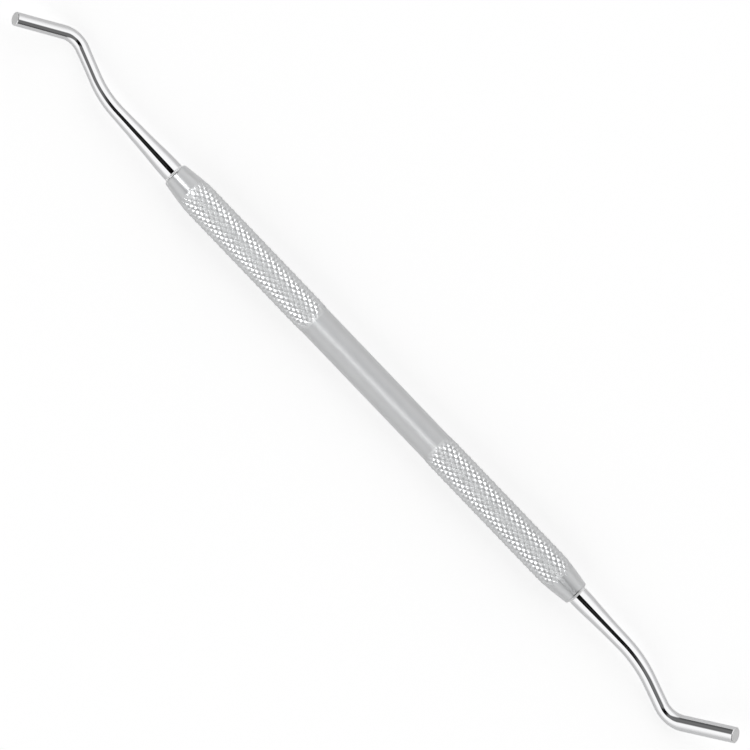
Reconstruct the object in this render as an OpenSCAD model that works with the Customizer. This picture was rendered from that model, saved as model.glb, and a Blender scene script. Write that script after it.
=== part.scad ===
// Dental plugger: a knurled bar handle with a bent, round working end pressed into each end.
// X runs along the handle towards the large end, Z is up, and the surface it lies on is at z = 0.
// All sizes in millimetres, angles in degrees.

/* [Handle] */
// length of the bar, end face to end face
handle_len = 97; // [90:0.2:120]
// diameter over the knurl's points
handle_d = 6.0; // [5.5:0.1:9]
// how far the plain middle lies below the knurl's points, on the radius
grip_step = 0.135; // [0.05:0.005:0.2]
// length of the plain middle
grip_len = 29; // [20:0.2:40]
// length of the taper at each end
taper_len = 6; // [4:0.1:9]
// how much each taper narrows by its end, on the radius
taper_drop = 0.78; // [0.5:0.02:0.9]
// how far the middle of the taper swells past a straight cone
taper_swell = 0.045; // [0:0.005:0.08]
// rounding of the edge at each end face
end_round = 0.45; // [0.1:0.05:0.45]

/* [Knurl] */
// number of grooves of each hand round the bar
knurl_starts = 18; // [14:1:20]
// length of one diamond along the bar
knurl_pitch = 1.47; // [1.4:0.01:2]
// depth of the grooves
knurl_depth = 0.24; // [0.15:0.01:0.3]
// how far the pattern runs out onto the taper
knurl_runout = 2.15; // [0.8:0.05:2.5]

/* [Tang] */
// diameter of the tang and of its bore in the handle
tang_d = 2.4; // [2:0.1:3]
// length of the tang
tang_len = 14; // [8:0.5:20]
// depth of the bore past the tang's end
bore_spare = 0.5; // [0.2:0.1:1]

/* [Small end] */
// shank diameter at the handle
small_base_d = 3.64; // [3.4:0.02:3.8]
// diameter through the first, gentle bend
small_bend_d = 2.46; // [2.2:0.02:2.8]
// diameter at the waist between the bends
small_waist_d = 2.26; // [2:0.02:2.6]
// diameter of the second bend and of the working tip
small_tip_d = 2.38; // [2:0.02:2.6]
// handle face to the corner of the first bend
small_neck_len = 17.35; // [14:0.05:20]
// sideways lean of the shank as it leaves the handle
small_lean = 1; // [0:0.1:3]
// distance between the corners of the two bends
small_mid_len = 11.5; // [10:0.1:15]
// sideways angle of the length between the bends
small_mid_turn = 20.1; // [14:0.1:26]
// corner of the second bend to the working face
small_tip_len = 12.15; // [10:0.05:16]
// sideways angle of the tip, back across the handle's line
small_tip_turn = 31.3; // [24:0.1:40]
// upward angle of the tip
small_tip_rise = 30; // [20:0.5:36]
// radius of the first bend, on the centre line
small_bend_r = 17; // [10:0.5:20]
// radius of the second bend, on the centre line
small_elbow_r = 4; // [3:0.1:6]

/* [Large end] */
// shank diameter at the handle
large_base_d = 3.52; // [3.4:0.02:3.8]
// diameter through the first, gentle bend
large_bend_d = 2.64; // [2.4:0.02:2.9]
// diameter at the waist between the bends
large_waist_d = 2.46; // [2.2:0.02:2.8]
// diameter of the second bend
large_elbow_d = 2.56; // [2.3:0.02:2.9]
// diameter of the working tip
large_tip_d = 2.74; // [2.4:0.02:3]
// handle face to the corner of the first bend
large_neck_len = 15.1; // [13:0.05:18]
// sideways lean of the shank as it leaves the handle
large_lean = 0; // [0:0.1:3]
// distance between the corners of the two bends
large_mid_len = 11.4; // [10.5:0.1:15]
// sideways angle of the length between the bends
large_mid_turn = 18.2; // [14:0.1:24]
// corner of the second bend to the working face
large_tip_len = 12.9; // [10:0.1:16]
// sideways angle of the tip, back across the handle's line
large_tip_turn = 34; // [26:0.1:42]
// upward angle of the tip
large_tip_rise = 28; // [20:0.5:36]
// radius of the first bend, on the centre line
large_bend_r = 21; // [12:0.5:22]
// radius of the second bend, on the centre line
large_elbow_r = 4.5; // [3:0.1:6]

/* [Working faces] */
// bevel round the rim of each working face
rim_bevel = 0.08; // [0.04:0.01:0.2]

/* [Hidden] */

$fn = 96;
// bar radii and stations along it
bar_r = handle_d / 2;
grip_r = bar_r - grip_step;
groove_r = bar_r - knurl_depth;
taper_x = handle_len / 2 - taper_len;
band_x0 = grip_len / 2;
band_x1 = taper_x + knurl_runout;
// the pattern keeps whole half diamonds between the two ends of a band
rings = round((band_x1 - band_x0) / (knurl_pitch / 2));
round_side = 2 * knurl_starts;
// rings over which the pattern rises out of the plain middle
rise_rings = 2;
// a band's end rings lie this far under the round surfaces that they meet
end_sink = 0.02;
// numbers of steps on the curved profiles
taper_steps = 8;
round_steps = 4;
flare_steps = 14;
// share of the flare that follows a wave, the rest being a straight cone
flare_wave = 0.6;
// length over which a cone brings a shank to its next diameter
blend_len = 1.5;
// extra length where a cutter passes a face, or one solid runs into the next
cut_over = 1;
// a straight length runs this far into a bend, and is this much finer there on the radius
seam_len = 0.15;
seam_step = 0.008;
// angle of a drill's point, from the axis
drill_half = 59;
// a bend's drop starts from this share of the bar's radius, and is worked out again this often
first_drop = bar_r * 2 / 3;
drop_tries = 8;

small_col = [0.83, 0.84, 0.85];
large_col = [0.76, 0.78, 0.80];
bar_col = [0.60, 0.61, 0.63];

// Radius of the taper at a distance u from where it starts.
function taper_r(u) =
    bar_r - taper_drop * (u / taper_len) + 4 * taper_swell * (u / taper_len) * (1 - u / taper_len);

// Station of ring k, from the plain middle out to the end of the run-out.
function ring_x(k) = band_x0 + (band_x1 - band_x0) * (k / rings);

// Radius of the full pattern on ring k at corner m: grooves cross where k + m is even.
function pattern_r(k, m) =
    grip_r + ((k + m) % 2 == 0 ? groove_r - grip_r : bar_r - grip_r) * min(1, k / rise_rings);

// Radius of the knurled band, with its end rings just under the round surfaces that they meet.
function band_r(k, m) =
    k == 0 ? grip_r - end_sink
    : k == rings ? taper_r(knurl_runout) - end_sink
    : min(pattern_r(k, m), taper_r(max(0, ring_x(k) - taper_x)));

function band_points() = [
    for (k = [0:rings])
        for (m = [0:round_side - 1])
            let (a = 360 * m / round_side, r = band_r(k, m))
            [ring_x(k), r * cos(a), r * sin(a)]
];

// Index of corner m on ring k.
function at(k, m) = k * round_side + m % round_side;

// Two triangles between neighbouring rings, split along the groove that crosses them.
function cell(k, m) =
    (k + m) % 2 == 0
    ? [[at(k, m), at(k + 1, m), at(k + 1, m + 1)], [at(k, m), at(k + 1, m + 1), at(k, m + 1)]]
    : [[at(k, m), at(k + 1, m), at(k, m + 1)], [at(k, m + 1), at(k + 1, m), at(k + 1, m + 1)]];

function band_faces() = concat(
    [[for (m = [0:round_side - 1]) m]],
    [for (k = [0:rings - 1]) for (m = [0:round_side - 1]) for (f = cell(k, m)) f],
    [[for (m = [round_side - 1:-1:0]) at(rings, m)]]
);

// Direction with a sideways turn and a rise, for an end on the given side of the handle.
function heading(side, turn, rise) =
    [side * cos(turn) * cos(rise), -side * sin(turn) * cos(rise), sin(rise)];

function unit(v) = v / norm(v);

// A bend in a corner between directions a and b: turn angle, cut-back length, inward direction.
function bend_angle(a, b) = acos(a * b);
function bend_back(a, b, r) = r * tan(bend_angle(a, b) / 2);
function bend_in(a, b) = unit(b - a * (a * b));

// Lowest point of the second bend's skin, measured from its corner.
function elbow_low(a, b, r, rod_r) =
    let (n = unit(cross(a, b)))
    (bend_in(a, b) * r - a * bend_back(a, b, r))[2] - r * sqrt(1 - n[2] * n[2]) - rod_r;

// Drop of the middle length that brings the second bend level with the underside of the bar.
function mid_heading(side, turn, len, drop) = heading(side, turn, -asin(drop / len));
function find_drop(side, turn, len, b, r, rod_r, drop, left) =
    left == 0 ? drop
    : find_drop(side, turn, len, b, r, rod_r,
        bar_r + elbow_low(mid_heading(side, turn, len, drop), b, r, rod_r), left - 1);

// Corners of one end's centre line, from the handle's face to the working face.
function corner_1(side, lean, neck_len) =
    [side * handle_len / 2, 0, bar_r] + neck_len * heading(side, lean, 0);

// small end
s_out = heading(-1, small_lean, 0);
s_tip = heading(-1, -small_tip_turn, small_tip_rise);
s_drop = find_drop(-1, small_mid_turn, small_mid_len, s_tip, small_elbow_r, small_tip_d / 2,
    first_drop, drop_tries);
s_mid = mid_heading(-1, small_mid_turn, small_mid_len, s_drop);
s_p1 = corner_1(-1, small_lean, small_neck_len);
s_p2 = s_p1 + small_mid_len * s_mid;
s_p3 = s_p2 + small_tip_len * s_tip;

// large end
l_out = heading(1, large_lean, 0);
l_tip = heading(1, -large_tip_turn, large_tip_rise);
l_drop = find_drop(1, large_mid_turn, large_mid_len, l_tip, large_elbow_r, large_elbow_d / 2,
    first_drop, drop_tries);
l_mid = mid_heading(1, large_mid_turn, large_mid_len, l_drop);
l_p1 = corner_1(1, large_lean, large_neck_len);
l_p2 = l_p1 + large_mid_len * l_mid;
l_p3 = l_p2 + large_tip_len * l_tip;

// the origin lies midway between the outermost points of the two working faces
reach_low = s_p3[0] - small_tip_d / 2 * sqrt(1 - s_tip[0] * s_tip[0]);
reach_high = l_p3[0] + large_tip_d / 2 * sqrt(1 - l_tip[0] * l_tip[0]);
shift_x = -(reach_low + reach_high) / 2;

// Placing helpers
module centred() {
    translate([shift_x, 0, 0]) children();
}

// Puts a child's z axis along d, starting at p.
module aim(p, d) {
    translate(p) rotate([0, acos(d[2]), atan2(d[1], d[0])]) children();
}

// Mirrors a child across the middle of the handle, and keeps the original.
module both_ends() {
    children();
    mirror([1, 0, 0]) children();
}

// Handle
module knurled_band() {
    polyhedron(points = band_points(), faces = band_faces(), convexity = 4);
}

// Taper profile from the end of the knurl to the rounded edge, as radius and height pairs.
function taper_points() = [
    for (i = [0:taper_steps])
        let (u = knurl_runout + (taper_len - end_round - knurl_runout) * i / taper_steps)
        [taper_r(u), taper_x + u]
];
function round_points() =
    let (r = taper_r(taper_len - end_round) - end_round)
    [for (i = [1:round_steps])
        let (a = 90 * i / round_steps)
        [r + end_round * cos(a), handle_len / 2 - end_round + end_round * sin(a)]];

module taper() {
    rotate([0, 90, 0]) rotate_extrude()
        polygon(concat([[0, band_x1]], taper_points(), round_points(), [[0, handle_len / 2]]));
}

module bore() {
    depth = tang_len + bore_spare;
    point = tang_d / 2 / tan(drill_half);
    translate([handle_len / 2 + cut_over, 0, 0]) rotate([0, -90, 0]) {
        cylinder(d = tang_d, h = depth + cut_over);
        translate([0, 0, depth + cut_over]) cylinder(d1 = tang_d, d2 = 0, h = point);
    }
}

module handle() {
    color(bar_col) centred() translate([0, 0, bar_r]) difference() {
        union() {
            translate([-band_x0, 0, 0]) rotate([0, 90, 0]) cylinder(r = grip_r, h = grip_len);
            both_ends() knurled_band();
            both_ends() taper();
        }
        both_ends() bore();
    }
}

// Working ends
// Shank radius at a share v of the flare, 0 at the handle and 1 at the first bend.
function flare_r(base_d, bend_d, v) =
    bend_d / 2 + (base_d - bend_d) / 2
    * (flare_wave * (1 + cos(180 * v)) / 2 + (1 - flare_wave) * (1 - v));

// Round rod along z, from radius and height pairs that run from its foot to its end.
module rod(pairs) {
    last = pairs[len(pairs) - 1];
    rotate_extrude() polygon(concat([[0, pairs[0][1]]], pairs, [[0, last[1]]]));
}

// Flared shank, started inside the bar, cut off level with the bar's face and let into the bend.
module flare(side, d, base_d, bend_d, len) {
    seat = [side * handle_len / 2, 0, bar_r];
    rod_d = bend_d - 2 * seam_step;
    difference() {
        aim(seat - d * cut_over, d) rod(concat(
            [[base_d / 2, 0]],
            [for (i = [0:flare_steps])
                [flare_r(base_d, rod_d, i / flare_steps), cut_over + len * i / flare_steps]],
            [[rod_d / 2, cut_over + len + seam_len]]));
        translate(seat - [side > 0 ? 3 * cut_over : 0, base_d, base_d])
            cube([3 * cut_over, 2 * base_d, 2 * base_d]);
    }
}

// Bent length of constant diameter that starts at p in direction a and ends in direction b.
module bend(p, a, b, r, d) {
    m = bend_in(a, b);
    x = -m;
    z = cross(x, a);
    o = p + m * r;
    multmatrix([
        [x[0], a[0], z[0], o[0]],
        [x[1], a[1], z[1], o[1]],
        [x[2], a[2], z[2], o[2]],
        [0, 0, 0, 1]])
        rotate_extrude(angle = bend_angle(a, b)) translate([r, 0]) circle(d = d);
}

// Straight length along z with a narrower waist half way, let into the bend at each end.
module waisted(len, d1, waist_d, d2) {
    r1 = d1 / 2 - seam_step;
    r2 = d2 / 2 - seam_step;
    rod([[r1, -seam_len], [r1, 0], [waist_d / 2, len / 2], [r2, len], [r2, len + seam_len]]);
}

// Working tip along z: a cone from the bend's diameter, a true cylinder and a bevelled flat face.
module tip(len, bend_d, tip_d) {
    r1 = bend_d / 2 - seam_step;
    rod([[r1, -seam_len], [r1, 0], [tip_d / 2, blend_len], [tip_d / 2, len - rim_bevel],
        [tip_d / 2 - rim_bevel, len]]);
}

module working_end(side, out, mid, tip_dir, p1, p2, p3, base_d, bend_d, waist_d, elbow_d, tip_d,
        neck_len, bend_r, elbow_r) {
    back_1 = bend_back(out, mid, bend_r);
    back_2 = bend_back(mid, tip_dir, elbow_r);
    mid_len = norm(p2 - p1) - back_1 - back_2;
    tip_len = norm(p3 - p2) - back_2;
    centred() union() {
        translate([side * (handle_len / 2 - tang_len), 0, bar_r]) rotate([0, side * 90, 0])
            cylinder(d = tang_d, h = tang_len + cut_over);
        flare(side, out, base_d, bend_d, neck_len - back_1);
        bend(p1 - out * back_1, out, mid, bend_r, bend_d);
        aim(p1 + mid * back_1, mid) waisted(mid_len, bend_d, waist_d, elbow_d);
        bend(p2 - mid * back_2, mid, tip_dir, elbow_r, elbow_d);
        aim(p2 + tip_dir * back_2, tip_dir) tip(tip_len, elbow_d, tip_d);
    }
}

module small_end() {
    color(small_col) working_end(-1, s_out, s_mid, s_tip, s_p1, s_p2, s_p3, small_base_d,
        small_bend_d, small_waist_d, small_tip_d, small_tip_d, small_neck_len, small_bend_r,
        small_elbow_r);
}

module large_end() {
    color(large_col) working_end(1, l_out, l_mid, l_tip, l_p1, l_p2, l_p3, large_base_d,
        large_bend_d, large_waist_d, large_elbow_d, large_tip_d, large_neck_len, large_bend_r,
        large_elbow_r);
}

handle();
small_end();
large_end();
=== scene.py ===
"""Looks of the dental plugger: knurled satin handle, mirror-polished bent ends, matte working faces."""
import math

import bmesh
import bpy
from mathutils import Matrix, Vector


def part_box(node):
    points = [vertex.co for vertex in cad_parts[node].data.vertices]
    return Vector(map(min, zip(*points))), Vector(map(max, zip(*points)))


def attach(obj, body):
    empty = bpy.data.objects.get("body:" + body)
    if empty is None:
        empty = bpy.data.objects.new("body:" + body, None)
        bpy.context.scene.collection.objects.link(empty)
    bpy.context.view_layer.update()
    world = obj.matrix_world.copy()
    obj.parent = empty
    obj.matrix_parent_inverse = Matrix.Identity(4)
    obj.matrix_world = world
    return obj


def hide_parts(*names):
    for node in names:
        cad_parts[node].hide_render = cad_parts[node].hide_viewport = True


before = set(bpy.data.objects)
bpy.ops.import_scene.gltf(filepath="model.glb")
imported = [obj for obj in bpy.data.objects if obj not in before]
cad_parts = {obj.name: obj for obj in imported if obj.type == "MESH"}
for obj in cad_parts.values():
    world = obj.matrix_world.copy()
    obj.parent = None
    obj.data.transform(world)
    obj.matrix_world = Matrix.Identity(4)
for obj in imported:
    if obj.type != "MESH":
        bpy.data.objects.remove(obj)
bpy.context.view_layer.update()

# Sizes
MM = 0.001

# the bar's place and length come from the handle in model.glb, its other sizes are the part's own
bar_low, bar_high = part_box("handle")
BAR_HALF = (bar_high.x - bar_low.x) / 2
BAR_MID = Vector(((bar_low.x + bar_high.x) / 2, 0, (bar_low.z + bar_high.z) / 2))
BAR_R = 3.0 * MM            # to the tops of the knurl's diamonds
GRIP_STEP = 0.135 * MM      # how far the plain grip lies below those tops
GRIP_R = BAR_R - GRIP_STEP
GRIP_HALF = 14.5 * MM
TAPER_LEN = 6.0 * MM
TAPER_X = BAR_HALF - TAPER_LEN
TAPER_DROP = 0.78 * MM      # how much the radius shrinks over the taper
TAPER_SWELL = 0.045 * MM    # how far the taper bulges at its middle
END_ROUND = 0.45 * MM       # rounding of the edge at each end of the bar

# the knurl
KNURL_STARTS = 18
KNURL_PITCH = 1.47 * MM
KNURL_DEPTH = 0.24 * MM
KNURL_FLANK = 0.36          # half width of a groove, as a part of the groove spacing
KNURL_BLEND = 2.8           # lower blends the flanks of two crossing grooves more softly
KNURL_RISE = 2              # half diamonds over which the pattern rises out of the plain grip
KNURL_RUNOUT = 2.15 * MM    # how far the pattern runs out over the taper
BAND_END = TAPER_X + KNURL_RUNOUT
BAND_ROWS = round((BAND_END - GRIP_HALF) / (KNURL_PITCH / 2))
ROW = (BAND_END - GRIP_HALF) / BAND_ROWS    # half a diamond along the bar

# where a working end meets the handle, and its working face
TANG_R = 1.2 * MM
TANG_LEN = 14 * MM
BORE_SPARE = 0.5 * MM       # bore left free past the tang
DRILL_HALF = math.radians(59)
SEAM_BAND = 0.3 * MM        # near-white ring where a shank leaves the handle: a painted highlight
RIM_BEVEL = 0.08 * MM       # bevel round the working face

# The working ends: lengths in mm and angles in degrees, as on the part. Each of the widths is a distance
# from the handle and the diameter there.
SMALL = dict(
    side=-1, lean=1, neck=17.35, mid=11.5, mid_turn=20.1, tip=12.15, tip_turn=31.3, tip_rise=30,
    bend_r=17, elbow_r=4, elbow_d=2.38,
    widths=[(0, 3.64), (0.6, 3.64), (1.7, 3.60), (3, 3.51), (4.2, 3.38), (5.5, 3.21), (6.7, 3.08),
            (8, 2.97), (9.3, 2.87), (10.5, 2.76), (11.8, 2.66), (13.1, 2.58), (14.3, 2.52),
            (16.1, 2.46), (17.8, 2.40), (19.5, 2.33), (22, 2.27), (24, 2.29), (26.5, 2.36),
            (29.5, 2.38)],
)
LARGE = dict(
    side=1, lean=0, neck=15.1, mid=11.4, mid_turn=18.2, tip=12.9, tip_turn=34, tip_rise=28,
    bend_r=21, elbow_r=4.5, elbow_d=2.56,
    widths=[(0, 3.52), (1.4, 3.47), (2.7, 3.38), (3.9, 3.24), (5.2, 3.10), (6.5, 2.98), (7.7, 2.88),
            (9, 2.82), (10.2, 2.77), (11.5, 2.72), (12.9, 2.68), (14.6, 2.65), (16.2, 2.60),
            (17.8, 2.54), (20.2, 2.49), (22.7, 2.49), (24.7, 2.54), (26.7, 2.66), (28.2, 2.73),
            (30, 2.74)],
)
FIRST_DROP = 2.0            # first guess, in mm, of how far an elbow's corner lies below the bar's axis
DROP_ROUNDS = 8             # rounds that bring the guess to its true value

# fineness of the meshes
DIAMOND_STEPS = 5           # rows of faces across half a diamond of the knurl, along and round the bar
EDGE_STEPS = 6              # round the edge at each end of the bar
TAPER_STEPS = 12
GRIP_STEPS = 8              # from a knurled band to the middle of the grip
CREASE = math.radians(12)   # edges of the handle that are sharper than this stay crisp
ROD_SIDES = 72
ROD_STEP = 0.3 * MM
BEND_STEP = 0.6 * ROD_STEP  # finer round a bend
LEAST_BEND_STEPS = 6
MERGE = 1e-6                # points closer than this become one
SLACK = 1e-7                # play in the comparison of a place with a size
OUTSIDE_R = 1.9 * MM        # what lies further out in a knurled band is its surface, not its bore

# places of the finishes in a piece's list of materials; the first finish covers the rest of the piece
KNURLED_SLOT = 1            # handle
TURNED_SLOT = 2
MATTE_SLOT = 1              # working ends
# the near-white ring at the foot of a shank is a painted highlight
RING_HIGHLIGHT_SLOT = 2


# Small helpers
def new_object(name, bm, materials):
    """Makes an object at the origin from a bmesh, with its materials in slot order."""
    bmesh.ops.recalc_face_normals(bm, faces=bm.faces)
    mesh = bpy.data.meshes.new(name)
    bm.to_mesh(mesh)
    bm.free()
    for m in materials:
        mesh.materials.append(m)
    obj = bpy.data.objects.new(name, mesh)
    bpy.context.scene.collection.objects.link(obj)
    return obj


def heading(side, turn, rise):
    """Direction away from the handle on one side, turned off the bar's line and raised, in degrees."""
    t, r = math.radians(turn), math.radians(rise)
    return Vector((side * math.cos(t) * math.cos(r), -side * math.sin(t) * math.cos(r), math.sin(r)))


def cut_back(a, b, r):
    """Distance from a corner to where its bend of radius r starts, turning from direction a to b."""
    return r * math.tan(math.acos(a.dot(b)) / 2)


def inward(a, b):
    """Direction from the start of a bend to its centre, turning from direction a to b."""
    return (b - a * a.dot(b)).normalized()


# Nodes
def feed(tree, socket, value):
    """Links an input to another node's output, or sets it to a plain value."""
    if isinstance(value, bpy.types.NodeSocket):
        tree.links.new(value, socket)
    elif socket.type == "RGBA":
        socket.default_value = (*value, 1)
    else:
        socket.default_value = value


def add(tree, kind, **values):
    """Adds a node. Each value goes to the input of that name, with _ for a space, or else to a setting."""
    node = tree.nodes.new(kind)
    for key, value in values.items():
        name = key.replace("_", " ")
        if name in node.inputs:
            feed(tree, node.inputs[name], value)
        else:
            setattr(node, key, value)
    return node


def maths(tree, operation, *values):
    node = add(tree, "ShaderNodeMath", operation=operation)
    for socket, value in zip(node.inputs, values):
        feed(tree, socket, value)
    return node.outputs[0]


# the inputs of a Mix node for the share and the two values, and its output, for colours and for numbers
MIX_SOCKETS = {"RGBA": ((0, 6, 7), 2), "FLOAT": ((0, 2, 3), 0)}


def mixed(tree, share, first, second, kind="RGBA"):
    """Goes from the first value to the second as the share goes from 0 to 1."""
    node = add(tree, "ShaderNodeMix", data_type=kind)
    places, result = MIX_SOCKETS[kind]
    for place, value in zip(places, (share, first, second)):
        feed(tree, node.inputs[place], value)
    return node.outputs[result]


# Materials
def make_grain_group():
    """Shared effect: broad uneven tone and fine grain on object coordinates, drawn out by its stretch."""
    group = bpy.data.node_groups.new("steel_grain", "ShaderNodeTree")
    for name, kind, value in (("Stretch", "NodeSocketVector", (1, 1, 1)),
                              ("Tone Scale", "NodeSocketFloat", 400),
                              ("Grain Scale", "NodeSocketFloat", 9000),
                              ("Height", "NodeSocketFloat", 3e-6)):
        socket = group.interface.new_socket(name, in_out="INPUT", socket_type=kind)
        socket.default_value = value
    group.interface.new_socket("Tone", in_out="OUTPUT", socket_type="NodeSocketFloat")
    group.interface.new_socket("Normal", in_out="OUTPUT", socket_type="NodeSocketVector")
    given = add(group, "NodeGroupInput").outputs
    place = add(group, "ShaderNodeTexCoord").outputs["Object"]
    drawn = add(group, "ShaderNodeMapping", Vector=place, Scale=given["Stretch"]).outputs["Vector"]
    tone = add(group, "ShaderNodeTexNoise", Vector=drawn, Scale=given["Tone Scale"], Detail=3.0)
    grain = add(group, "ShaderNodeTexNoise", Vector=drawn, Scale=given["Grain Scale"], Detail=4.0)
    relief = add(group, "ShaderNodeBump", Strength=1.0, Height=grain.outputs["Fac"], Distance=given["Height"])
    add(group, "NodeGroupOutput", Tone=tone.outputs["Fac"], Normal=relief.outputs["Normal"])
    return group


steel_grain = make_grain_group()

ALONG = (0.2, 1, 1)         # grain drawn out along the bar, as left by polishing
ROUND = (4, 1, 1)           # grain drawn out round the bar, as left by turning
EVEN = (1, 1, 1)
SHEEN_REACH = 0.7            # higher lets the painted sheen at grazing angles reach further in from the rim


def steel(name, dark, light, grazing_sheen, rough, tone_scale, grain_scale, stretch, height):
    """Bare steel whose colour and roughness vary with the tone, with a sheen painted in at grazing angles."""
    mat = bpy.data.materials.new(name)
    mat.use_nodes = True
    tree = mat.node_tree
    grain = add(tree, "ShaderNodeGroup", node_tree=steel_grain, Stretch=stretch, Tone_Scale=tone_scale,
                Grain_Scale=grain_scale, Height=height)
    tone = grain.outputs["Tone"]
    facing = add(tree, "ShaderNodeLayerWeight", Blend=SHEEN_REACH).outputs["Facing"]
    roughness = add(tree, "ShaderNodeMapRange", Value=tone, To_Min=rough[0], To_Max=rough[1])
    inputs = tree.nodes["Principled BSDF"].inputs
    inputs["Metallic"].default_value = 1
    # painted sheen: the base colour turns to the grazing colour towards the rims
    feed(tree, inputs["Base Color"], mixed(tree, facing, mixed(tree, tone, dark, light), grazing_sheen))
    feed(tree, inputs["Roughness"], roughness.outputs["Result"])
    feed(tree, inputs["Normal"], grain.outputs["Normal"])
    return mat


# the grazing colours are painted sheen, strongest on the handle, where they lighten the rims and sides
satin = steel("satin_grip", dark=(0.38, 0.385, 0.39), light=(0.44, 0.445, 0.45), grazing_sheen=(0.87, 0.875, 0.88),
              rough=(0.43, 0.48), tone_scale=500, grain_scale=9000, stretch=EVEN, height=3e-6)
knurled = steel("knurled_steel", dark=(0.46, 0.465, 0.47), light=(0.52, 0.525, 0.53),
                grazing_sheen=(0.82, 0.825, 0.83), rough=(0.42, 0.48), tone_scale=700, grain_scale=6000,
                stretch=EVEN, height=1e-6)
turned = steel("turned_taper", dark=(0.37, 0.375, 0.38), light=(0.43, 0.435, 0.44), grazing_sheen=(0.98, 0.985, 0.99),
               rough=(0.28, 0.32), tone_scale=500, grain_scale=3000, stretch=ROUND, height=1e-6)
polished = steel("polished_steel", dark=(0.83, 0.83, 0.84), light=(0.87, 0.87, 0.88), grazing_sheen=(0.85, 0.85, 0.86),
                 rough=(0.04, 0.07), tone_scale=300, grain_scale=1500, stretch=ALONG, height=5e-7)
# near-white rough steel: a painted highlight where a shank leaves the handle
ring_highlight = steel("painted_ring_highlight", dark=(0.95, 0.95, 0.95), light=(0.98, 0.98, 0.98), grazing_sheen=(0.98, 0.98, 0.98),
                rough=(0.75, 0.85), tone_scale=500, grain_scale=3000, stretch=EVEN, height=1e-6)
matte = steel("matte_face", dark=(0.80, 0.80, 0.80), light=(0.88, 0.88, 0.88), grazing_sheen=(0.85, 0.85, 0.85),
              rough=(0.50, 0.60), tone_scale=2500, grain_scale=9000, stretch=EVEN, height=3e-6)


# Handle
def taper_r(u):
    """Radius at a distance u along the taper, which starts on the knurl's outer diameter."""
    f = u / TAPER_LEN
    return BAR_R - TAPER_DROP * f + 4 * TAPER_SWELL * f * (1 - f)


def knurl_r(x, angle):
    """Radius of the knurled bar at a distance x from its middle: blunt diamonds between crossing grooves."""
    along = (x - GRIP_HALF) / ROW
    around = angle / (math.pi / KNURL_STARTS)
    turns = (along + around) / 2, (along - around) / 2
    sunk = [1 - min(1, abs(t - round(t)) / KNURL_FLANK) for t in turns]
    cut = BAR_R - KNURL_DEPTH * sum(s ** KNURL_BLEND for s in sunk) ** (1 / KNURL_BLEND)
    r = GRIP_R + (cut - GRIP_R) * min(1, along / KNURL_RISE)
    return min(r, taper_r(max(0, x - TAPER_X)))


def handle_profile():
    """Points from the bottom of the bore, out over the end face and back to the middle of the bar."""
    floor = BAR_HALF - TANG_LEN - BORE_SPARE
    points = [(floor - TANG_R / math.tan(DRILL_HALF), 0), (floor, TANG_R), (BAR_HALF, TANG_R)]
    r_end = taper_r(TAPER_LEN - END_ROUND) - END_ROUND
    for i in range(EDGE_STEPS + 1):
        a = math.pi / 2 * (1 - i / EDGE_STEPS)
        points.append((BAR_HALF - END_ROUND + END_ROUND * math.sin(a), r_end + END_ROUND * math.cos(a)))
    for i in range(1, TAPER_STEPS):
        u = (TAPER_LEN - END_ROUND) + (KNURL_RUNOUT - TAPER_LEN + END_ROUND) * i / TAPER_STEPS
        points.append((TAPER_X + u, taper_r(u)))
    for i in range(BAND_ROWS * DIAMOND_STEPS + 1):
        points.append((BAND_END - ROW / DIAMOND_STEPS * i, GRIP_R))
    for i in range(1, GRIP_STEPS + 1):
        points.append((GRIP_HALF * (1 - i / GRIP_STEPS), GRIP_R))
    return points


def in_band(place):
    """Whether a place, taken from the middle of the bar, is on the surface of a knurled band."""
    outside = math.hypot(place.y, place.z) > OUTSIDE_R
    return outside and GRIP_HALF - SLACK <= abs(place.x) <= BAND_END + SLACK


def split_along_grooves(faces):
    """Splits each face of the knurl on the diagonal that lies nearer the true surface."""
    for face in faces:
        around = [v.co - BAR_MID for v in face.verts]
        middle = sum(around, Vector()) / 4
        true_r = knurl_r(abs(middle.x), math.atan2(middle.z, middle.y))
        sag = [abs(((around[i] + around[i + 2]) / 2).yz.length - true_r) for i in (0, 1)]
        i = sag.index(min(sag))
        bmesh.utils.face_split(face, face.verts[i], face.verts[i + 2])


def make_handle():
    """Spins the bar from its outline, sinks the knurl into both bands and gives each stretch its finish."""
    bm = bmesh.new()
    profile = handle_profile()
    outline = profile + [(-x, r) for x, r in reversed(profile[:-1])]
    verts = [bm.verts.new(BAR_MID + Vector((x, r, 0))) for x, r in outline]
    edges = [bm.edges.new(pair) for pair in zip(verts, verts[1:])]
    bmesh.ops.spin(bm, geom=verts + edges, cent=BAR_MID, axis=(1, 0, 0), angle=2 * math.pi,
                   steps=2 * KNURL_STARTS * DIAMOND_STEPS, use_merge=True)
    bmesh.ops.remove_doubles(bm, verts=bm.verts, dist=MERGE)
    for v in bm.verts:
        p = v.co - BAR_MID
        if in_band(p):
            turn = math.atan2(p.z, p.y)
            r = knurl_r(abs(p.x), turn)
            v.co = BAR_MID + Vector((p.x, r * math.cos(turn), r * math.sin(turn)))
    banded = []
    for f in bm.faces:
        f.smooth = True
        middle = f.calc_center_median() - BAR_MID
        if in_band(middle):
            f.material_index = KNURLED_SLOT
            banded.append(f)
        elif abs(middle.x) > BAND_END:
            f.material_index = TURNED_SLOT
    split_along_grooves(banded)
    bm.normal_update()
    for e in bm.edges:
        if e.calc_face_angle(0) > CREASE:
            e.smooth = False
    obj = new_object("handle_bar", bm, [satin, knurled, turned])
    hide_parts("handle")
    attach(obj, "root")
    return obj


# Working ends
def middle_heading(end, drop):
    """Direction between an end's two bends that takes the second bend's corner down by the drop, in mm."""
    return heading(end["side"], end["mid_turn"], -math.degrees(math.asin(drop / end["mid"])))


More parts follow.
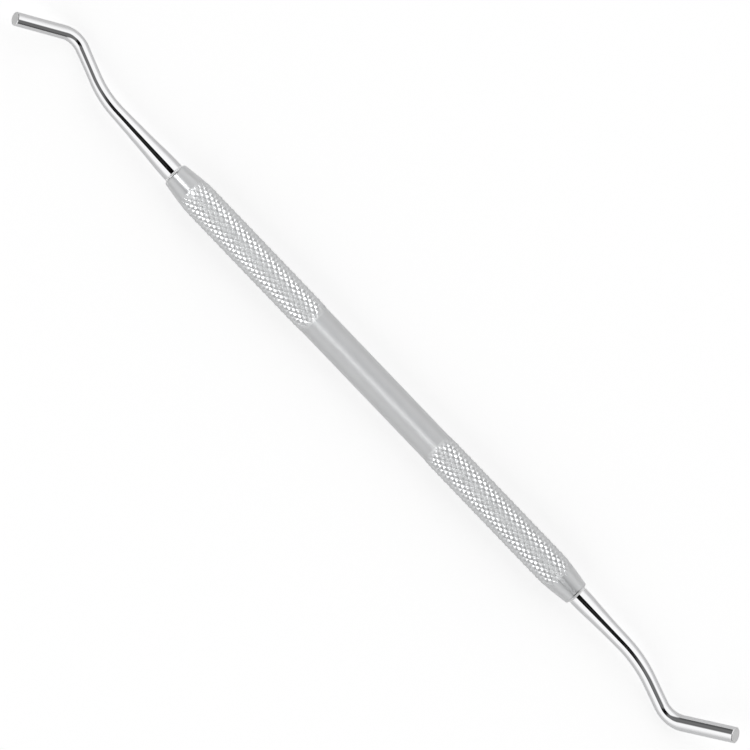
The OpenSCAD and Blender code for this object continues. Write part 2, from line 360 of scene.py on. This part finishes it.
def corners(end):
    """The four corners of an end's centre line; the second bend comes level with the bar's underside."""
    out = heading(end["side"], end["lean"], 0)
    tip = heading(end["side"], -end["tip_turn"], end["tip_rise"])
    drop = FIRST_DROP
    for _ in range(DROP_ROUNDS):
        mid = middle_heading(end, drop)
        back = cut_back(mid, tip, end["elbow_r"])
        n = mid.cross(tip).normalized()
        # height of the bend's underside, taken from its corner
        low = (inward(mid, tip) * end["elbow_r"] - mid * back).z
        low -= end["elbow_r"] * math.sqrt(1 - n.z * n.z) + end["elbow_d"] / 2
        drop = BAR_R / MM + low
    p0 = BAR_MID + Vector((end["side"] * BAR_HALF, 0, 0))
    p1 = p0 + out * end["neck"] * MM
    p2 = p1 + middle_heading(end, drop) * end["mid"] * MM
    p3 = p2 + tip * end["tip"] * MM
    return p0, p1, p2, p3


def straight(a, b):
    """Places along a straight length, each with its direction."""
    d = (b - a).normalized()
    count = max(1, round((b - a).length / ROD_STEP))
    return [(a.lerp(b, i / count), d) for i in range(count + 1)]


def bent(a, corner, b, r):
    """Places round the bend at a corner between two others, each with its direction."""
    d1, d2 = (corner - a).normalized(), (b - corner).normalized()
    m = inward(d1, d2)
    centre = corner - d1 * cut_back(d1, d2, r) + m * r
    angle = math.acos(d1.dot(d2))
    count = max(LEAST_BEND_STEPS, round(r * angle / BEND_STEP))
    places = []
    for i in range(count + 1):
        t = angle * i / count
        places.append((centre - m * r * math.cos(t) + d1 * r * math.sin(t),
                       d1 * math.cos(t) + m * math.sin(t)))
    return places


def width_at(widths, s):
    """Diameter at a distance s, on a smooth curve through the given widths."""
    if s <= widths[0][0]:
        return widths[0][1]
    for i in range(len(widths) - 1):
        (s0, d0), (s1, d1) = widths[i], widths[i + 1]
        if s <= s1:
            before = widths[i - 1] if i > 0 else (2 * s0 - s1, d0)
            after = widths[i + 2] if i + 2 < len(widths) else (2 * s1 - s0, d1)
            m0 = (d1 - before[1]) / (s1 - before[0]) * (s1 - s0)
            m1 = (after[1] - d0) / (after[0] - s0) * (s1 - s0)
            t = (s - s0) / (s1 - s0)
            return ((2 * t**3 - 3 * t**2 + 1) * d0 + (t**3 - 2 * t**2 + t) * m0
                    + (3 * t**2 - 2 * t**3) * d1 + (t**3 - t**2) * m1)
    return widths[-1][1]


def end_stations(end, p0, p1, p2, p3):
    """Places down a working end with their directions and radii, from the foot of the tang to the face."""
    out, mid, tip = (p1 - p0).normalized(), (p2 - p1).normalized(), (p3 - p2).normalized()
    bend_r, elbow_r = end["bend_r"] * MM, end["elbow_r"] * MM
    bend_back, elbow_back = cut_back(out, mid, bend_r), cut_back(mid, tip, elbow_r)
    line = straight(p0, p1 - out * bend_back)[:-1]
    line += bent(p0, p1, p2, bend_r)[:-1]
    line += straight(p1 + mid * bend_back, p2 - mid * elbow_back)[:-1]
    line += bent(p1, p2, p3, elbow_r)[:-1]
    line += straight(p2 + tip * elbow_back, p3 - tip * RIM_BEVEL)

    axis = Vector((end["side"], 0, 0))
    stations = [(p0 - axis * TANG_LEN, axis, TANG_R), (p0, axis, TANG_R)]
    run, last = 0, p0
    for place, direction in line:
        run += (place - last).length
        last = place
        stations.append((place, direction, width_at(end["widths"], run / MM) * MM / 2))
    stations.append((p3, tip, stations[-1][2] - RIM_BEVEL))
    return stations


def grow_rod(bm, stations):
    """Draws a closed circle out through the stations, always square to them, and returns its rings."""
    bmesh.ops.create_circle(bm, segments=ROD_SIDES, radius=1)
    place, direction, r = stations[0]
    facing = Vector((0, 0, 1)).rotation_difference(direction).to_matrix().to_4x4()
    now = Matrix.Translation(place) @ facing @ Matrix.Scale(r, 4)
    bmesh.ops.transform(bm, matrix=now, verts=bm.verts)
    bmesh.ops.contextual_create(bm, geom=bm.edges[:])
    rings = [bm.edges[:]]
    for place, new_direction, r in stations[1:]:
        facing = direction.rotation_difference(new_direction).to_matrix().to_4x4() @ facing
        then = Matrix.Translation(place) @ facing @ Matrix.Scale(r, 4)
        grown = bmesh.ops.extrude_edge_only(bm, edges=rings[-1])["geom"]
        verts = [g for g in grown if isinstance(g, bmesh.types.BMVert)]
        edges = [g for g in grown if isinstance(g, bmesh.types.BMEdge)]
        rings.append([e for e in edges if all(v in verts for v in e.verts)])
        bmesh.ops.transform(bm, matrix=then @ now.inverted(), verts=verts)
        now, direction = then, new_direction
    return rings


def make_end(name, end):
    """One working end: tang, shank, two bends and tip, its painted highlight ring and its matte face."""
    p0, p1, p2, p3 = corners(end)
    out = (p1 - p0).normalized()
    bm = bmesh.new()
    rings = grow_rod(bm, end_stations(end, p0, p1, p2, p3))
    for f in bm.faces:
        f.smooth = True
        # the ring next to the handle gets the painted highlight
        if 0 < (f.calc_center_median() - p0).dot(out) < SEAM_BAND:
            f.material_index = RING_HIGHLIGHT_SLOT
    for f in bmesh.ops.contextual_create(bm, geom=rings[-1])["faces"]:
        f.material_index = MATTE_SLOT
        f.smooth = False
    # the step at the handle and the bevel of the face stay crisp
    for e in rings[1] + rings[2] + rings[-2] + rings[-1]:
        e.smooth = False
    obj = new_object(name + "_rod", bm, [polished, matte, ring_highlight])
    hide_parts(name)
    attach(obj, "root")


handle = make_handle()
make_end("small_end", SMALL)
make_end("large_end", LARGE)

# Floor
FLOOR_HALF = 3                          # half its side, in metres
PAPER = (0.80, 0.80, 0.80)              # its colour as it lights the part
PAPER_SEEN = (0.45, 0.45, 0.45)         # its colour for the camera, to which the glow is added
GLOW_SEEN = 0.74
GLOW_MIRRORED = 0.18


def make_floor():
    """White paper that takes the shadows, with a glow that only the camera and reflections see."""
    bm = bmesh.new()
    bmesh.ops.create_grid(bm, x_segments=1, y_segments=1, size=FLOOR_HALF)
    mat = bpy.data.materials.new("white_paper")
    mat.use_nodes = True
    tree = mat.node_tree
    tree.nodes.clear()
    path = add(tree, "ShaderNodeLightPath").outputs
    seen, mirrored = path["Is Camera Ray"], path["Is Glossy Ray"]
    paper = add(tree, "ShaderNodeBsdfDiffuse", Color=mixed(tree, seen, PAPER, PAPER_SEEN))
    strength = maths(tree, "ADD", maths(tree, "MULTIPLY", seen, GLOW_SEEN),
                     maths(tree, "MULTIPLY", mirrored, GLOW_MIRRORED))
    glow = add(tree, "ShaderNodeEmission", Strength=strength)
    both = add(tree, "ShaderNodeAddShader")
    feed(tree, both.inputs[0], paper.outputs[0])
    feed(tree, both.inputs[1], glow.outputs[0])
    add(tree, "ShaderNodeOutputMaterial", Surface=both.outputs[0])
    new_object("floor", bm, [mat])


make_floor()

# Light
# The tent is described in slopes: how far a point lies along or across the bar for each unit up.
LEAST_UP = 0.03                         # keeps the slopes finite near the floor
GAP_HALF = 0.46                         # half width of the dark gap overhead
GAP_OPENS_FROM = 0.45                   # slope along the bar from where the gap opens
GAP_OPENING = 0.52                      # how much its half width grows for each unit of that slope
GAP_BLACK = 0.001                       # light in the middle of the gap

# Soft changes, each with the slopes or heights between which it happens and the values before and after it
GAP_SHIFT = (0.2, 1.5), (0.1, 0)        # sideways, by the slope along the bar
GAP_SOFTNESS = (0.15, 0.5), (0.08, 0.3) # of the gap's edges, as a part of its half width
BANK_LIGHT = (0, 0.5), (0.98, 1.4)      # of the bright banks, by height
STRIP_LIGHT = (0.1, 0.24), (0.03, 0)    # of a faint strip in the gap, by the slope across the bar
STRIP_START = (0.02, 0.1), (0, 1)       # share of that strip, by the slope along the bar
ROOM_LIGHT = (0.14, 0.36), (0, 0.2)     # of the dim ends of the gap
ROOM_DIMMING = (2, 6), (0, -0.1)        # of those ends near the floor


def make_world():
    """White tent with two bright banks along the bar and a dark gap between them, where the camera is."""
    world = bpy.data.worlds.new("tent")
    bpy.context.scene.world = world
    world.use_nodes = True
    tree = world.node_tree
    tree.nodes.clear()

    def eased(value, places, values):
        node = add(tree, "ShaderNodeMapRange", interpolation_type="SMOOTHSTEP", Value=value,
                   From_Min=places[0], From_Max=places[1], To_Min=values[0], To_Max=values[1])
        return node.outputs["Result"]

    direction = add(tree, "ShaderNodeTexCoord").outputs["Generated"]
    x, y, z = add(tree, "ShaderNodeSeparateXYZ", Vector=direction).outputs
    up = maths(tree, "MAXIMUM", z, LEAST_UP)
    along = maths(tree, "ABSOLUTE", maths(tree, "DIVIDE", x, up))
    shifted = maths(tree, "ADD", maths(tree, "DIVIDE", y, up), eased(along, *GAP_SHIFT))
    across = maths(tree, "ABSOLUTE", shifted)

    # the gap keeps its width overhead and opens towards both ends of the bar
    beyond = maths(tree, "MAXIMUM", maths(tree, "SUBTRACT", along, GAP_OPENS_FROM), 0)
    half = maths(tree, "ADD", maths(tree, "MULTIPLY", beyond, GAP_OPENING), GAP_HALF)
    softness = eased(along, *GAP_SOFTNESS)
    inner = maths(tree, "MULTIPLY", half, maths(tree, "SUBTRACT", 1, softness))
    outer = maths(tree, "MULTIPLY", half, maths(tree, "ADD", 1, softness))
    bank = eased(across, (inner, outer), (0, 1))

    # inside, it is black overhead, then shows a faint strip, and is dim further along the bar
    strip = maths(tree, "MULTIPLY", eased(across, *STRIP_LIGHT), eased(along, *STRIP_START))
    room = maths(tree, "ADD", eased(along, *ROOM_LIGHT), eased(along, *ROOM_DIMMING))
    dark = maths(tree, "ADD", maths(tree, "ADD", strip, GAP_BLACK), room)
    inside = maths(tree, "MULTIPLY", dark, maths(tree, "SUBTRACT", 1, bank))
    light = maths(tree, "ADD", maths(tree, "MULTIPLY", eased(z, *BANK_LIGHT), bank), inside)

    # the camera itself sees plain white
    seen = add(tree, "ShaderNodeLightPath").outputs["Is Camera Ray"]
    background = add(tree, "ShaderNodeBackground", Strength=mixed(tree, seen, light, 1, "FLOAT"))
    add(tree, "ShaderNodeOutputWorld", Surface=background.outputs[0])


make_world()

# Lamps over the bar, in metres, degrees and watts: name, tilt along the bar, lean across it, length and
# width, power
LAMP_DISTANCE = 0.5
BAR_LAMPS = [
    ("lamp_over_bar", -36, 3, (0.10, 0.02), 1.5),
    ("strip_over_bar", 8, 9, (0.03, 0.20), 0.40),
    ("panel_over_bar", 0, 0, (1.2, 0.4), 0.75),
]


def make_bar_lamps(bar):
    """Soft lamps that light only the satin bar."""
    bar_only = bpy.data.collections.new("bar_only")
    bar_only.objects.link(bar)
    for name, tilt, lean, (length, width), power in BAR_LAMPS:
        data = bpy.data.lights.new(name, "AREA")
        data.shape = "RECTANGLE"
        data.size = length
        data.size_y = width
        data.energy = power
        lamp = bpy.data.objects.new(name, data)
        bpy.context.scene.collection.objects.link(lamp)
        turn = Matrix.Rotation(math.radians(lean), 4, "X") @ Matrix.Rotation(math.radians(tilt), 4, "Y")
        lamp.matrix_world = Matrix.Translation(BAR_MID) @ turn @ Matrix.Translation((0, 0, LAMP_DISTANCE))
        lamp.light_linking.receiver_collection = bar_only


make_bar_lamps(handle)

# Camera
FRAME_SIDE = 750                        # pixels of the photograph
PIXEL = MM / 6                          # one of its pixels, at the height of the bar
BAR_TURN = math.radians(46.25)          # how far the bar is turned down to the right in it
FRAME_MIDDLE = Vector((374.5, 374.5))
BAR_POINT = Vector((372.4, 380.7))      # a point on the bar's line
BAR_POINT_TO_MIDDLE = 3.9               # pixels from there to the bar's middle, towards the large end
SENSOR = 36
LENS = 900                              # long, so that the view is nearly without perspective
CLIP_END = 10


def make_camera():
    """Looks straight down at the bar, as in the photograph."""
    off = FRAME_MIDDLE - BAR_POINT
    along = off.x * math.cos(BAR_TURN) + off.y * math.sin(BAR_TURN) - BAR_POINT_TO_MIDDLE
    across = off.x * math.sin(BAR_TURN) - off.y * math.cos(BAR_TURN)
    data = bpy.data.cameras.new("camera")
    data.sensor_width = SENSOR
    data.lens = LENS
    data.clip_end = CLIP_END
    cam = bpy.data.objects.new("camera", data)
    bpy.context.scene.collection.objects.link(cam)
    cam.location = BAR_MID + Vector((along * PIXEL, across * PIXEL, FRAME_SIDE * PIXEL * LENS / SENSOR))
    cam.rotation_euler = (0, 0, BAR_TURN)
    bpy.context.scene.camera = cam


make_camera()

bpy.context.scene.view_settings.view_transform = "Standard"
